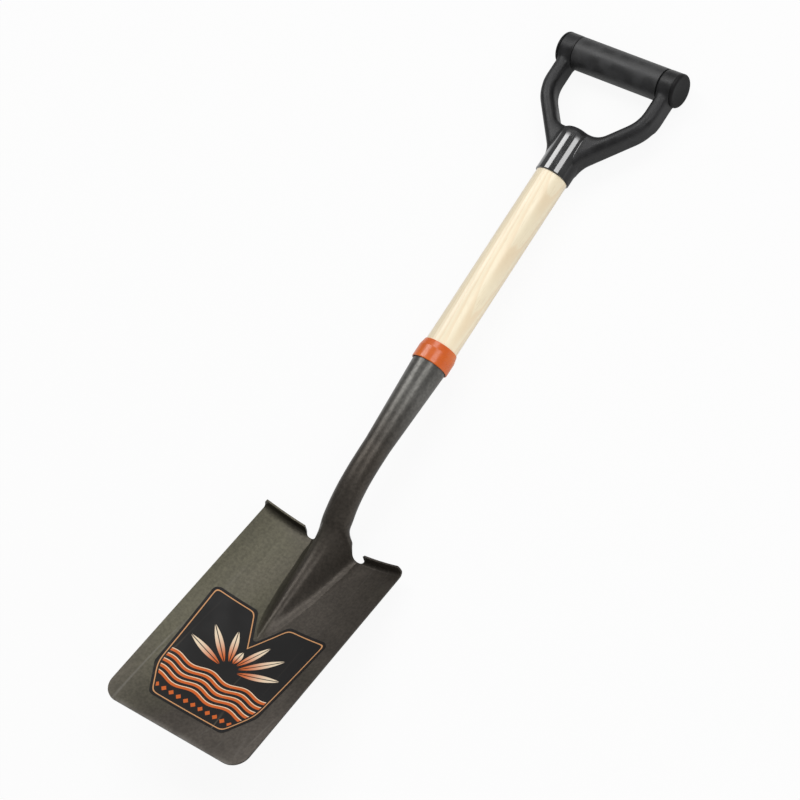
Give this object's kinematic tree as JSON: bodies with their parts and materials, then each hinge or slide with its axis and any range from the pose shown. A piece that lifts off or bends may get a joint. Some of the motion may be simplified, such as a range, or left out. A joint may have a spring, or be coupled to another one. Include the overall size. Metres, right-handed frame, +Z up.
{
  "type": "square point shovel",
  "caption": "Short square point shovel with a dished steel blade, turned treads, a riveted socket on a wooden shaft and a moulded D grip, for scooping and digging.",
  "frame": {"origin": "middle of the lying shovel's own box, on the floor that its heel and its grip rest on", "axes": "+Y from the blade to the grip, +X across the blade, +Z up, from the shovel's back to its front"},
  "size_m": [0.1438, 0.6822, 0.0743],
  "materials": {
    "lacquered_steel": "dark clear-lacquered pressed steel, satin",
    "label_film": "printed film in black, orange and cream stripes",
    "orange_plastic": "glossy moulded orange",
    "bare_steel": "bare zinc-grey",
    "ash_wood": "pale clear-varnished ash",
    "black_plastic": "satin black moulding"
  },
  "bodies": {
    "root": {"blade": "lacquered_steel", "blade_label": "label_film", "socket_collar": "orange_plastic", "socket_rivet": "bare_steel", "shaft": "ash_wood", "grip_yoke": "black_plastic", "grip_bar": "black_plastic", "left_end_cap": "black_plastic", "right_end_cap": "black_plastic", "grip_screw": "bare_steel"}
  },
  "joints": []
}
